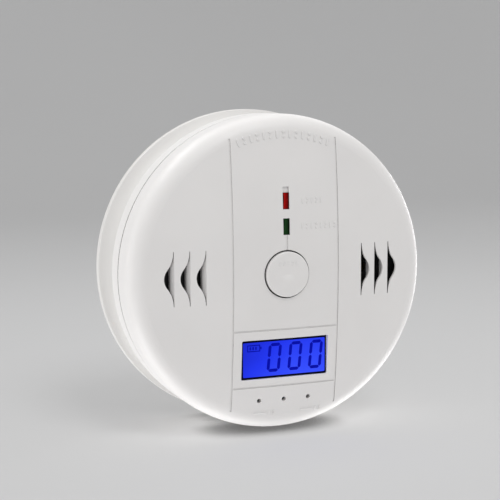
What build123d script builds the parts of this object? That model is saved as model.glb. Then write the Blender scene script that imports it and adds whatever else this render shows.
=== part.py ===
from build123d import *
from math import atan, atan2, cos, degrees, radians, sin, sqrt
import os

# A round, battery-powered carbon monoxide detector on its wall plate.
#
# Every piece is drawn lying on its back: x to the right, y up the face, z out from the wall.
# It is then stood up against the wall, so that in the written files the front faces -Y, +Z is up
# and the wall is the plane Y = 0. The origin is the centre of the wall plate's back face.
# All sizes are in millimetres.

# ---------------------------------------------------------------- driving dimensions

BODY_RADIUS = 50.0        # housing
FACE_TOP = 37.6           # wall to the middle of the face
DOME_RADIUS = 325.0       # the face is part of a large sphere
EDGE_ROUNDING = 6.1       # between the face and the side wall
WALL = 2.0                # front cover
THIN_WALL = 1.8           # rear cover
GAP = 0.3                 # between pieces that move past each other
FINE_EDGE = 0.3           # small roundings on moulded edges

PLATE_RADIUS = 51.1       # wall plate
PLATE_FLOOR = 2.0
PLATE_EDGE = 2.5          # straight edge of the flared rim
PLATE_HEIGHT = 7.0        # top of the rim
PLATE_NECK_RADIUS = 46.5  # the flare narrows to this at the top
PLATE_INNER_RADIUS = 44.3
COVE_RADIUS = 9.0         # hollow curve of the flare
SCREW_SPACING = 60.0      # wall screws
SCREW_SLOT_WIDTH = 4.4
SCREW_SLOT_LENGTH = 10.0

SEAM_HEIGHT = 21.4        # where the two housing shells meet
SEAM_GROOVE = 0.6
SEAM_GROOVE_DEPTH = 1.3
RIM_HEIGHT = 15.0         # underside of the rear cover's rim

PANEL_HALF_WIDTH = 17.7   # vertical lines on the face
PANEL_LINE_TOP = -17.0    # horizontal lines above and below the display
PANEL_LINE_BOTTOM = -35.2
LINE_WIDTH = 0.5
LINE_DEPTH = 0.2
CHANNEL_WIDTH = 0.8       # the groove from the green lamp down to the button
CHANNEL_DEPTH = 0.25
LAMP_NOTCH_LENGTH = 1.9   # a shallow notch above the red lamp
LAMP_NOTCH_DEPTH = 0.5

BUTTON_CENTRE = 0.4       # height of the test button and of the slots on the face
BUTTON_RADIUS = 7.1
BUTTON_PROUD = 1.1        # the button stands out of the face by this much
BUTTON_RING_GAP = 0.45
BUTTON_EDGE_ROUNDING = 0.4
BUTTON_FLANGE = 1.0       # keeps the button in the housing

LAMP_SIZE = (2.0, 5.0, 7.0)
LAMP_RECESS = 0.12        # the lamps end this much below the face
LAMP_LEG_SPACING = 2.54
LAMP_LEG_WIDTH = 0.5
RED_LAMP_HEIGHT = 23.15
GREEN_LAMP_HEIGHT = 15.2

WINDOW_SIZE = (29.2, 12.65)
WINDOW_CORNER = 0.5
WINDOW_HEIGHT = -26.35
GLASS_SIZE = (30.4, 13.4, 1.8)
GLASS_FRONT = 35.0
LIGHT_GUIDE_SIZE = (30.4, 11.6, 2.8)
HOLDER_SIZE = (34.0, 17.0)
HOLDER_TOP = 32.9
HOLDER_FLOOR = 1.2
DISPLAY_PIN_COUNT = 9
DISPLAY_PIN_PITCH = 2.54
DISPLAY_PIN_RADIUS = 0.25
DISPLAY_PIN_ROWS = (-6.3, 6.3)

SLOT_FIRST = 26.05        # straight edge of the innermost slot
SLOT_PITCH = 5.0
SLOT_COUNT = 3
SLOT_HALF_LENGTH = 8.4
SLOT_BULGE = 2.9
SLOT_TIP = 0.3            # width of a slot at its thin ends
SLOT_WALL = 0.8           # the cover is thin around the slots
SLOT_RIB_DEPTH = 3.4      # a rib stands along each slot's straight edge
SLOT_RIB_WIDTH = 1.3
SLOT_RAMP_WIDTH = 0.85    # the rib's side slopes into the slot
SLOT_RAMP_DEPTH = 1.6

HOLE_COUNT = 3
HOLE_PITCH = 8.4
HOLE_HEIGHT = -39.8
HOLE_RADIUS = 0.7

BOARD_BOTTOM = 21.0
BOARD_THICKNESS = 1.6
BOARD_RADIUS = 43.5

SENSOR_X = -29.0          # gas sensor
SENSOR_RADIUS = 10.0
SENSOR_TOP = 30.4
SENSOR_CAN_HIGH = 28.8
SENSOR_PIN_CIRCLE = 6.75
SENSOR_PIN_RADIUS = 0.5

SOUNDER_X = 29.0
SOUNDER_RADIUS = 14.0
SOUNDER_TOP = 29.8
SOUNDER_WALL = 1.6
SOUNDER_MOUTH = 2.0
SOUNDER_PIN_RADIUS = 0.4
DISC_LOW = 25.0           # the sounder's brass disc
DISC_THICKNESS = 0.3
DISC_RADIUS = 13.0
CERAMIC_RADIUS = 9.0
CERAMIC_THICKNESS = 0.25

SWITCH_SIZE = 6.0         # tact switch under the button
SWITCH_BODY_HEIGHT = 3.5
SWITCH_HEIGHT = 5.0
PLUNGER_RADIUS = 1.75
PLUNGER_FIT = 0.05

CAPACITOR_PLACE = (13.0, 30.0)
CAPACITOR_RADIUS = 4.0
CAPACITOR_HEIGHT = 9.5
COIL_PLACE = (20.0, 19.0)
COIL_RADIUS = 4.5
COIL_HEIGHT = 7.0
MICROCONTROLLER_PLACE = (-16.0, 21.0)
AMPLIFIER_PLACE = (-13.0, -11.0)
RESISTOR_ROWS = ((-12.0, 12.0), (7.0, -12.5))
RESISTORS_PER_ROW = 3

CELL_RADIUS = 7.1         # AA cells
CELL_LENGTH = 50.5
CELL_PITCH = 14.8
CELL_AXIS = 10.5
CELL_DIRECTIONS = (1, -1, 1)
NUB_LENGTH = 1.0
NUB_RADIUS = 2.7
CONTACT_THICKNESS = 0.4
CONTACT_SIZE = 9.0
TAIL_WIDTH = 2.0
SPRING_WIRE = 0.4
SPRING_TURNS = 4
SPRING_COIL_RADIUS = 3.4
BAY_WALL = 1.6

CASE_SCREW_OFFSET = 28.3
CASE_SCREW_SEAT = 14.0
CASE_SCREW_RADIUS = 1.3
CASE_SCREW_HEAD = 2.4
CASE_SCREW_LENGTH = 13.0
CASE_BOSS_RADIUS = 3.4
BOARD_SCREWS = ((0, 38.0), (-35.0, -19.0), (35.0, -19.0))
BOARD_SCREW_RADIUS = 1.0
BOARD_SCREW_HEAD = 2.0
BOARD_SCREW_LENGTH = 6.0
BOARD_BOSS_RADIUS = 2.5

LUG_HALF_ANGLE = 6.0      # bayonet lugs, in degrees
LUG_ANGLES = (90, 210, 330)
LUG_THICKNESS = 1.7
CATCH_THICKNESS = 2.0     # the wall plate's catches over the lugs
STOP_ANGLE = 2.5

# ---------------------------------------------------------------- derived dimensions

BODY_DEPTH = FACE_TOP + BUTTON_PROUD
BOARD_TOP = BOARD_BOTTOM + BOARD_THICKNESS
PIN_END = BOARD_BOTTOM - 1.0                # soldered pins come out this far behind the board
SPIGOT_RADIUS = 42.2                        # of the rear cover, inside the wall plate's rim
SPIGOT_BOTTOM = PLATE_FLOOR + 2 * GAP
DRUM_RADIUS = 46.0
DRUM_BOTTOM = PLATE_HEIGHT + GAP
TONGUE_RADIUS = BODY_RADIUS - WALL - GAP    # the rear cover's tongue fits inside the front cover
TONGUE_WIDTH = 1.2
TONGUE_HEIGHT = 2.0
BAY_ROOF = CELL_AXIS + CELL_RADIUS + 0.2    # inner face of the battery bay
BAY_WIDTH = 2 * CELL_PITCH + 2 * CELL_RADIUS + 1.4
BAY_LENGTH = CELL_LENGTH + 8.5
CELL_XS = (-CELL_PITCH, 0.0, CELL_PITCH)
WALL_CONTACT_Y = (BAY_LENGTH - CONTACT_THICKNESS) / 2
CONTACT_TAILS = ((-CELL_PITCH, WALL_CONTACT_Y), (CELL_PITCH, -WALL_CONTACT_Y))
SENSOR_CAN_LOW = BOARD_TOP + 0.6
BRASS_PIN_X = SOUNDER_X - 11.5
CERAMIC_PIN_X = SOUNDER_X - 6.0
CASE_SCREWS = [(side * CASE_SCREW_OFFSET, end * CASE_SCREW_OFFSET) for side in (-1, 1) for end in (-1, 1)]

BOTTOM = (Align.CENTER, Align.CENTER, Align.MIN)
STAND_UP = Rot(90, 0, 0)


# ---------------------------------------------------------------- helpers


def face_height(x, y):
    """Distance from the wall to the domed face."""
    return FACE_TOP - DOME_RADIUS + sqrt(DOME_RADIUS**2 - x**2 - y**2)


def post(radius, low, high, x=0.0, y=0.0):
    """A cylinder that stands on the plane z = low."""
    return Pos(x, y, low) * Cylinder(radius, high - low, align=BOTTOM)


def tube(outer, inner, low, high, x=0.0, y=0.0):
    return post(outer, low, high, x, y) - post(inner, low, high, x, y)


def block(width, length, low, high, x=0.0, y=0.0):
    return Pos(x, y, low) * Box(width, length, high - low, align=BOTTOM)


def group(solids):
    """Several separate solids that share one node."""
    return Compound(children=[solid.solid() for solid in solids])


def ring_piece(outer, inner, low, high, start, end):
    """A piece of a ring between two angles, in degrees."""
    wedge_reach = 2 * outer
    corners = [(0, 0)] + [
        (wedge_reach * cos(radians(angle)), wedge_reach * sin(radians(angle))) for angle in (start, end)
    ]
    wedge = Pos(0, 0, low) * extrude(make_face(Polyline(*corners, close=True)), high - low)
    return tube(outer, inner, low, high) & wedge


def domed_drum(radius, low, top, dome, rounding):
    """A drum with a domed end (a sphere of radius dome) and a rounded edge."""
    dome_centre = top - dome
    rounding_x = radius - rounding
    rounding_z = dome_centre + sqrt((dome - rounding) ** 2 - rounding_x**2)
    tilt = atan2(rounding_z - dome_centre, rounding_x)
    dome_end = (dome * cos(tilt), dome_centre + dome * sin(tilt))
    dome_middle_tilt = (tilt + radians(90)) / 2
    dome_middle = (dome * cos(dome_middle_tilt), dome_centre + dome * sin(dome_middle_tilt))
    edge_middle = (rounding_x + rounding * cos(tilt / 2), rounding_z + rounding * sin(tilt / 2))
    outline = [
        Line((0, low), (radius, low)),
        Line((radius, low), (radius, rounding_z)),
        ThreePointArc((radius, rounding_z), edge_middle, dome_end),
        ThreePointArc(dome_end, dome_middle, (0, top)),
        Line((0, top), (0, low)),
    ]
    return revolve(Plane.XZ * make_face(outline), Axis.Z)


def housing_form(inset, low):
    """The housing's outer form from the plane z = low to the face, moved inwards by inset."""
    return domed_drum(
        BODY_RADIUS - inset, low, FACE_TOP - inset, DOME_RADIUS - inset, EDGE_ROUNDING - inset
    )


# ---------------------------------------------------------------- front cover


def slot_outline(side, straight_edge):
    """A bell-shaped slot: a straight edge, and three tangent arcs that swell outwards."""
    turn = 2 * atan(SLOT_BULGE / SLOT_HALF_LENGTH)
    both_radii = SLOT_HALF_LENGTH / sin(turn)
    crest_radius = both_radii / 3
    tail_radius = both_radii - crest_radius
    base = straight_edge + SLOT_TIP

    def at(x, y):
        return (side * x, BUTTON_CENTRE + y)

    def tail_point(end, angle):
        return at(base + tail_radius * (1 - cos(angle)), end * (SLOT_HALF_LENGTH - tail_radius * sin(angle)))

    crest = at(base + SLOT_BULGE, 0)
    lines = [
        Line(at(straight_edge, -SLOT_HALF_LENGTH), at(straight_edge, SLOT_HALF_LENGTH)),
        ThreePointArc(tail_point(-1, turn), crest, tail_point(1, turn)),
    ]
    for end in (-1, 1):
        lines.append(Line(at(straight_edge, end * SLOT_HALF_LENGTH), tail_point(end, 0)))
        lines.append(ThreePointArc(tail_point(end, 0), tail_point(end, turn / 2), tail_point(end, turn)))
    return make_face(lines)


def face_slots():
    cuts = []
    for side in (-1, 1):
        for index in range(SLOT_COUNT):
            outline = slot_outline(side, SLOT_FIRST + index * SLOT_PITCH)
            cuts.append(Pos(0, 0, BOARD_TOP) * extrude(outline, BODY_DEPTH - BOARD_TOP))
    return cuts


def thin_region(side):
    """The layer behind the face that is hollowed out around the slots on one side."""
    middle_x = SLOT_FIRST + (SLOT_COUNT * SLOT_PITCH) / 2 - SLOT_RIB_WIDTH / 2
    width = SLOT_COUNT * SLOT_PITCH + SLOT_RIB_WIDTH
    length = 2 * SLOT_HALF_LENGTH + 2 * WALL
    layer = housing_form(SLOT_WALL, SEAM_HEIGHT) - housing_form(WALL, SEAM_HEIGHT - 1)
    return layer & block(width, length, BOARD_TOP, BODY_DEPTH, side * middle_x, BUTTON_CENTRE)


def slot_rib(side, straight_edge):
    """A rib behind the face along a slot's straight edge; its side slopes from the edge into the slot."""
    edge_top = face_height(straight_edge, 0)
    rib_bottom = edge_top - SLOT_RIB_DEPTH
    profile = [
        (straight_edge - SLOT_RIB_WIDTH, rib_bottom),
        (straight_edge + SLOT_RAMP_WIDTH, rib_bottom),
        (straight_edge + SLOT_RAMP_WIDTH, edge_top - SLOT_RAMP_DEPTH),
        (straight_edge, edge_top),
        (straight_edge - SLOT_RIB_WIDTH, edge_top),
    ]
    corners = [Vector(side * x, BUTTON_CENTRE - SLOT_HALF_LENGTH, z) for x, z in profile]
    section = Face(Wire.make_polygon(corners, close=True))
    rib = Solid.extrude(section, Vector(0, 2 * SLOT_HALF_LENGTH, 0))
    return rib & housing_form(0, SEAM_HEIGHT)


def face_lines():
    """Shallow panel lines on the face, a groove below the lamps and a notch above them."""
    line_reach = 46.0
    side_length = 2 * sqrt(line_reach**2 - PANEL_HALF_WIDTH**2)
    bars = [
        block(LINE_WIDTH, side_length, SEAM_HEIGHT, BODY_DEPTH, side * PANEL_HALF_WIDTH) for side in (-1, 1)
    ]
    for height in (PANEL_LINE_TOP, PANEL_LINE_BOTTOM):
        bars.append(block(2 * PANEL_HALF_WIDTH, LINE_WIDTH, SEAM_HEIGHT, BODY_DEPTH, 0, height))
    line_floor = housing_form(LINE_DEPTH, SEAM_HEIGHT - 1)
    groove_top = GREEN_LAMP_HEIGHT
    groove_bottom = BUTTON_CENTRE + BUTTON_RADIUS
    groove_middle = (groove_top + groove_bottom) / 2
    groove = block(CHANNEL_WIDTH, groove_top - groove_bottom, SEAM_HEIGHT, BODY_DEPTH, 0, groove_middle)
    notch_bottom = RED_LAMP_HEIGHT
    notch_length = LAMP_SIZE[1] / 2 + LAMP_NOTCH_LENGTH
    notch_middle = notch_bottom + notch_length / 2
    notch = block(LAMP_SIZE[0], notch_length, SEAM_HEIGHT, BODY_DEPTH, 0, notch_middle)
    cuts = [bar - line_floor for bar in bars]
    cuts.append(groove - housing_form(CHANNEL_DEPTH, SEAM_HEIGHT - 1))
    cuts.append(notch - housing_form(LAMP_NOTCH_DEPTH, SEAM_HEIGHT - 1))
    return cuts


def lies_on_face(edge):
    """Whether an edge runs along the domed face, inside its rounded border."""
    points = [edge @ (step / 4) for step in range(5)]
    on_dome = all(abs(point.Z - face_height(point.X, point.Y)) < 0.02 for point in points)
    return on_dome and all(point.X**2 + point.Y**2 < (BODY_RADIUS - EDGE_ROUNDING) ** 2 for point in points)


def soften_openings(cover):
    """Rounds the face's edges around the window and the small holes."""

    def around_window(place):
        in_width = abs(place.X) < WINDOW_SIZE[0] / 2 + FINE_EDGE
        return in_width and abs(place.Y - WINDOW_HEIGHT) < WINDOW_SIZE[1] / 2 + FINE_EDGE

    def around_hole(place):
        return abs(place.Y - HOLE_HEIGHT) < HOLE_RADIUS + 0.05 and abs(place.X) < HOLE_PITCH * HOLE_COUNT / 2

    roundings = (
        (around_window, 0.8 * FINE_EDGE),
        (around_hole, 0.5 * FINE_EDGE),
    )
    for is_wanted, radius in roundings:
        edges = [edge for edge in cover.edges() if is_wanted(edge @ 0.5) and lies_on_face(edge)]
        cover = fillet(edges, radius)
    return cover


def make_front_cover():
    cover_bottom = SEAM_HEIGHT + SEAM_GROOVE
    cover = housing_form(0, cover_bottom)
    cover = fillet(cover.edges().group_by(Axis.Z)[0], FINE_EDGE)
    cover += post(BODY_RADIUS - SEAM_GROOVE_DEPTH, SEAM_HEIGHT, cover_bottom)
    cover -= housing_form(WALL, SEAM_HEIGHT - 1)
    for side in (-1, 1):
        cover -= thin_region(side)
    inner_form = housing_form(WALL, SEAM_HEIGHT)
    for x, y in CASE_SCREWS:
        cover += post(CASE_BOSS_RADIUS - 0.2, SEAM_HEIGHT, BODY_DEPTH, x, y) & inner_form
        cover -= post(CASE_SCREW_RADIUS, SEAM_HEIGHT, CASE_SCREW_SEAT + CASE_SCREW_LENGTH, x, y)
    hole_radius = BUTTON_RADIUS + BUTTON_RING_GAP
    guide_inner = BUTTON_RADIUS + BUTTON_FLANGE + GAP
    guide_outer = guide_inner + TONGUE_WIDTH
    guide_bottom = FACE_TOP - WALL - GAP - BUTTON_FLANGE - WALL
    cover += tube(guide_outer, guide_inner, guide_bottom, BODY_DEPTH, 0, BUTTON_CENTRE) & inner_form
    cover -= post(hole_radius, BOARD_TOP, BODY_DEPTH + 1, 0, BUTTON_CENTRE)
    window = block(*WINDOW_SIZE, BOARD_TOP, BODY_DEPTH, 0, WINDOW_HEIGHT)
    cover -= fillet(window.edges().filter_by(Axis.Z), WINDOW_CORNER)
    pocket_top = GLASS_FRONT + 0.05
    cover -= block(GLASS_SIZE[0] + 0.4, GLASS_SIZE[1] + 0.4, BOARD_TOP, pocket_top, 0, WINDOW_HEIGHT)
    for height in (RED_LAMP_HEIGHT, GREEN_LAMP_HEIGHT):
        cover -= block(LAMP_SIZE[0] + 0.16, LAMP_SIZE[1] + 0.16, BOARD_TOP, BODY_DEPTH, 0, height)
    for index in range(HOLE_COUNT):
        hole_x = (index - (HOLE_COUNT - 1) / 2) * HOLE_PITCH
        cover -= post(HOLE_RADIUS, BOARD_TOP, BODY_DEPTH, hole_x, HOLE_HEIGHT)
    for cut in face_slots() + face_lines():
        cover -= cut
    for side in (-1, 1):
        for index in range(SLOT_COUNT):
            cover += slot_rib(side, SLOT_FIRST + index * SLOT_PITCH)
    return soften_openings(cover)


# ---------------------------------------------------------------- rear cover


def make_rear_cover():
    floor_top = SPIGOT_BOTTOM + THIN_WALL
    drum_floor_top = DRUM_BOTTOM + THIN_WALL
    rim_floor_top = RIM_HEIGHT + THIN_WALL
    above_seam = SEAM_HEIGHT + TONGUE_HEIGHT
    rim = post(BODY_RADIUS, RIM_HEIGHT, SEAM_HEIGHT)
    cover = fillet(rim.edges().filter_by(GeomType.CIRCLE), FINE_EDGE)
    cover += post(DRUM_RADIUS, DRUM_BOTTOM, RIM_HEIGHT + FINE_EDGE)
    cover += post(SPIGOT_RADIUS, SPIGOT_BOTTOM, DRUM_BOTTOM)
    tongue_inner = TONGUE_RADIUS - TONGUE_WIDTH
    cover += tube(TONGUE_RADIUS, tongue_inner, rim_floor_top, above_seam)
    cover -= post(SPIGOT_RADIUS - THIN_WALL, floor_top, above_seam)
    cover -= post(DRUM_RADIUS - THIN_WALL, drum_floor_top, above_seam)
    cover -= post(tongue_inner, rim_floor_top, above_seam)
    cover += block(BAY_WIDTH + 2 * BAY_WALL, BAY_LENGTH + 2 * BAY_WALL, floor_top, BAY_ROOF + BAY_WALL)
    cover -= block(BAY_WIDTH, BAY_LENGTH, SPIGOT_BOTTOM, BAY_ROOF)
    fence_width = 0.5
    fence_height = 3.2
    for x in (-CELL_PITCH / 2, CELL_PITCH / 2):
        cover += block(fence_width, BAY_LENGTH, BAY_ROOF - fence_height, BAY_ROOF, x)
    inside = post(SPIGOT_RADIUS, SPIGOT_BOTTOM, DRUM_BOTTOM) + post(DRUM_RADIUS, DRUM_BOTTOM, SEAM_HEIGHT)
    for x, y in CASE_SCREWS:
        cover += post(CASE_BOSS_RADIUS, SPIGOT_BOTTOM, SEAM_HEIGHT, x, y) & inside
        cover -= post(CASE_SCREW_RADIUS + GAP, SPIGOT_BOTTOM, SEAM_HEIGHT, x, y)
        cover -= post(CASE_SCREW_HEAD + 0.2, SPIGOT_BOTTOM, CASE_SCREW_SEAT, x, y)
    for x, y in BOARD_SCREWS:
        cover += post(BOARD_BOSS_RADIUS, floor_top, BOARD_BOTTOM, x, y) & post(DRUM_RADIUS, 0, BOARD_BOTTOM)
        cover -= post(BOARD_SCREW_RADIUS, BOARD_TOP - BOARD_SCREW_LENGTH, BOARD_BOTTOM, x, y)
    for angle in LUG_ANGLES:
        cover += ring_piece(
            PLATE_INNER_RADIUS - GAP,
            SPIGOT_RADIUS - 1.0,
            SPIGOT_BOTTOM,
            SPIGOT_BOTTOM + LUG_THICKNESS,
            angle - LUG_HALF_ANGLE,
            angle + LUG_HALF_ANGLE,
        )
    for x, y in CONTACT_TAILS:
        cover -= block(TAIL_WIDTH, CONTACT_THICKNESS, CELL_AXIS, SEAM_HEIGHT, x, y)
    return cover


# ---------------------------------------------------------------- wall plate


def flared_rim():
    """The plate's outer rim: a straight edge, then a hollow curve up to a narrower neck."""
    edge_end = (PLATE_RADIUS, PLATE_EDGE)
    neck_end = (PLATE_NECK_RADIUS, PLATE_HEIGHT)
    outline = [
        Line((PLATE_INNER_RADIUS, 0), (PLATE_RADIUS, 0)),
        Line((PLATE_RADIUS, 0), edge_end),
        RadiusArc(edge_end, neck_end, COVE_RADIUS),
        Line(neck_end, (PLATE_INNER_RADIUS, PLATE_HEIGHT)),
        Line((PLATE_INNER_RADIUS, PLATE_HEIGHT), (PLATE_INNER_RADIUS, 0)),
    ]
    rim = revolve(Plane.XZ * make_face(outline), Axis.Z)
    outer_edges = [
        edge
        for edge in rim.edges().filter_by(GeomType.CIRCLE)
        if edge.radius > PLATE_NECK_RADIUS - 0.1 and edge.center().Z > PLATE_FLOOR
    ]
    return fillet(outer_edges, FINE_EDGE)


def make_mounting_plate():
    overlap = 0.2
    plate = flared_rim() + post(PLATE_INNER_RADIUS + overlap, 0, PLATE_FLOOR)
    plate -= tube(PLATE_RADIUS - 2.0, PLATE_INNER_RADIUS + 1.6, 0, PLATE_FLOOR)
    catch_low = SPIGOT_BOTTOM + LUG_THICKNESS + GAP
    catch_high = catch_low + CATCH_THICKNESS
    catch_radius = SPIGOT_RADIUS + 0.4
    stop_gap = degrees(GAP / PLATE_INNER_RADIUS)
    for angle in LUG_ANGLES:
        plate += ring_piece(
            PLATE_INNER_RADIUS + overlap,
            catch_radius,
            catch_low,
            catch_high,
            angle - LUG_HALF_ANGLE,
            angle + LUG_HALF_ANGLE,
        )
        stop_end = angle - LUG_HALF_ANGLE - stop_gap
        plate += ring_piece(
            PLATE_INNER_RADIUS + overlap,
            catch_radius,
            PLATE_FLOOR - overlap,
            catch_high,
            stop_end - STOP_ANGLE,
            stop_end,
        )
    for side in (-1, 1):
        slot = SlotOverall(SCREW_SLOT_LENGTH, SCREW_SLOT_WIDTH)
        plate -= Pos(side * SCREW_SPACING / 2, 0, 0) * extrude(slot, PLATE_FLOOR)
    return plate


# ---------------------------------------------------------------- test button and its switch


def make_test_button():
    flange_top = FACE_TOP - WALL - GAP
    flange_bottom = flange_top - BUTTON_FLANGE
    cap = Pos(0, BUTTON_CENTRE, 0) * domed_drum(
        BUTTON_RADIUS, flange_bottom, BODY_DEPTH, DOME_RADIUS, BUTTON_EDGE_ROUNDING
    )
    flange = post(BUTTON_RADIUS + BUTTON_FLANGE, flange_bottom, flange_top, 0, BUTTON_CENTRE)
    hollow = post(BUTTON_RADIUS - 1.4, flange_bottom, BODY_DEPTH - 1.6, 0, BUTTON_CENTRE)
    rest_gap = 0.03
    stem_bottom = BOARD_TOP + SWITCH_HEIGHT + rest_gap
    stem = post(PLUNGER_RADIUS + 0.25, stem_bottom, BODY_DEPTH - 1.0, 0, BUTTON_CENTRE)
    return cap + flange - hollow + stem


def make_tact_switch_body():
    switch_top = BOARD_TOP + SWITCH_BODY_HEIGHT
    body = block(SWITCH_SIZE, SWITCH_SIZE, BOARD_TOP, switch_top, 0, BUTTON_CENTRE)
    return body - post(PLUNGER_RADIUS + PLUNGER_FIT, BOARD_TOP + 1.4, switch_top, 0, BUTTON_CENTRE)


def make_tact_switch_plunger():
    return post(PLUNGER_RADIUS, BOARD_TOP + 2.2, BOARD_TOP + SWITCH_HEIGHT, 0, BUTTON_CENTRE)


# ---------------------------------------------------------------- lamps


def lamp_top(height):
    return face_height(0, height) - LAMP_RECESS


def make_lamp(height):
    top = lamp_top(height)
    body = block(LAMP_SIZE[0], LAMP_SIZE[1], top - LAMP_SIZE[2], top, 0, height)
    return fillet(body.edges().filter_by(Axis.Z) + body.edges().group_by(Axis.Z)[-1], 0.2)


def lamp_leg_places(height):
    return [(0, height + side * LAMP_LEG_SPACING / 2) for side in (-1, 1)]


def make_led_legs():
    legs = []
    for height in (RED_LAMP_HEIGHT, GREEN_LAMP_HEIGHT):
        for x, y in lamp_leg_places(height):
            leg_top = lamp_top(height) - LAMP_SIZE[2]
            legs.append(block(LAMP_LEG_WIDTH, LAMP_LEG_WIDTH, PIN_END, leg_top, x, y))
    return group(legs)


def make_led_spacers():
    spacers = []
    for height in (RED_LAMP_HEIGHT, GREEN_LAMP_HEIGHT):
        spacer = block(3.0, 6.0, BOARD_TOP, lamp_top(height) - LAMP_SIZE[2], 0, height)
        for x, y in lamp_leg_places(height):
            spacer -= block(LAMP_LEG_WIDTH, LAMP_LEG_WIDTH, BOARD_TOP, BODY_DEPTH, x, y)
        spacers.append(spacer)
    return group(spacers)


# ---------------------------------------------------------------- display


def display_pin_places():
    first = -(DISPLAY_PIN_COUNT - 1) / 2 * DISPLAY_PIN_PITCH
    return [
        (first + index * DISPLAY_PIN_PITCH, WINDOW_HEIGHT + row)
        for row in DISPLAY_PIN_ROWS
        for index in range(DISPLAY_PIN_COUNT)
    ]


def make_lcd_glass():
    return block(GLASS_SIZE[0], GLASS_SIZE[1], GLASS_FRONT - GLASS_SIZE[2], GLASS_FRONT, 0, WINDOW_HEIGHT)


def light_guide_bottom():
    return GLASS_FRONT - GLASS_SIZE[2] - LIGHT_GUIDE_SIZE[2]


def make_lcd_backlight():
    low = light_guide_bottom()
    return block(LIGHT_GUIDE_SIZE[0], LIGHT_GUIDE_SIZE[1], low, low + LIGHT_GUIDE_SIZE[2], 0, WINDOW_HEIGHT)


def make_lcd_holder():
    low = light_guide_bottom() - HOLDER_FLOOR
    holder = block(*HOLDER_SIZE, low, HOLDER_TOP, 0, WINDOW_HEIGHT)
    holder -= block(GLASS_SIZE[0] + 0.2, GLASS_SIZE[1] + 0.2, low, HOLDER_TOP, 0, WINDOW_HEIGHT)
    bar_x = 3.5 * DISPLAY_PIN_PITCH
    for x in (-bar_x, bar_x):
        holder += block(2.0, HOLDER_SIZE[1] - 1.0, low, light_guide_bottom(), x, WINDOW_HEIGHT)
    leg_width = 1.5
    leg_x = (HOLDER_SIZE[0] - leg_width) / 2
    leg_y = (HOLDER_SIZE[1] - leg_width) / 2
    for x in (-leg_x, leg_x):
        for y in (-leg_y, leg_y):
            holder += block(leg_width, leg_width, BOARD_TOP, low, x, WINDOW_HEIGHT + y)
    return holder


def make_lcd_pins():
    return group(
        post(DISPLAY_PIN_RADIUS, PIN_END, GLASS_FRONT - GLASS_SIZE[2], x, y) for x, y in display_pin_places()
    )


# ---------------------------------------------------------------- gas sensor


def sensor_pin_places():
    return [
        (
            SENSOR_X + SENSOR_PIN_CIRCLE * cos(radians(angle)),
            BUTTON_CENTRE + SENSOR_PIN_CIRCLE * sin(radians(angle)),
        )
        for angle in (90, 210, 330)
    ]


def make_co_sensor_can():
    return post(SENSOR_RADIUS, SENSOR_CAN_LOW, SENSOR_CAN_HIGH, SENSOR_X, BUTTON_CENTRE)


def filter_top():
    return SENSOR_CAN_HIGH + 0.6


def make_co_sensor_filter():
    return post(SENSOR_RADIUS - GAP, SENSOR_CAN_HIGH, filter_top(), SENSOR_X, BUTTON_CENTRE)


def make_co_sensor_cap():
    """A cap over the can's end, with a hole in the middle and a ring of six holes."""
    skirt_bottom = SENSOR_CAN_HIGH - 2.4
    cap = post(SENSOR_RADIUS + 0.7, skirt_bottom, SENSOR_TOP, SENSOR_X, BUTTON_CENTRE)
    cap -= post(SENSOR_RADIUS, skirt_bottom, filter_top(), SENSOR_X, BUTTON_CENTRE)
    hole_radius = 0.9
    hole_circle = 4.5
    holes = [(0, 0)]
    for turn in range(0, 360, 60):
        holes.append((hole_circle * cos(radians(turn)), hole_circle * sin(radians(turn))))
    for x, y in holes:
        cap -= post(hole_radius, SENSOR_CAN_HIGH, SENSOR_TOP, SENSOR_X + x, BUTTON_CENTRE + y)
    return cap


def make_co_sensor_pins():
    return group(post(SENSOR_PIN_RADIUS, PIN_END, SENSOR_CAN_LOW, x, y) for x, y in sensor_pin_places())


# ---------------------------------------------------------------- sounder


def make_sounder_chamber():
    chamber = post(SOUNDER_RADIUS, BOARD_TOP, SOUNDER_TOP, SOUNDER_X, BUTTON_CENTRE)
    chamber -= post(SOUNDER_RADIUS - SOUNDER_WALL, BOARD_TOP, SOUNDER_TOP - 1.2, SOUNDER_X, BUTTON_CENTRE)
    chamber -= post(DISC_RADIUS, DISC_LOW, DISC_LOW + DISC_THICKNESS, SOUNDER_X, BUTTON_CENTRE)
    return chamber - post(SOUNDER_MOUTH, BOARD_TOP, SOUNDER_TOP, SOUNDER_X, BUTTON_CENTRE)


def make_piezo_disc():
    return post(DISC_RADIUS, DISC_LOW, DISC_LOW + DISC_THICKNESS, SOUNDER_X, BUTTON_CENTRE)


def make_piezo_ceramic():
    return post(CERAMIC_RADIUS, DISC_LOW - CERAMIC_THICKNESS, DISC_LOW, SOUNDER_X, BUTTON_CENTRE)


def make_sounder_pins():
    tops = ((BRASS_PIN_X, DISC_LOW), (CERAMIC_PIN_X, DISC_LOW - CERAMIC_THICKNESS))
    return group(post(SOUNDER_PIN_RADIUS, PIN_END, top, x, BUTTON_CENTRE) for x, top in tops)


# ---------------------------------------------------------------- circuit board and its small parts


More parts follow.
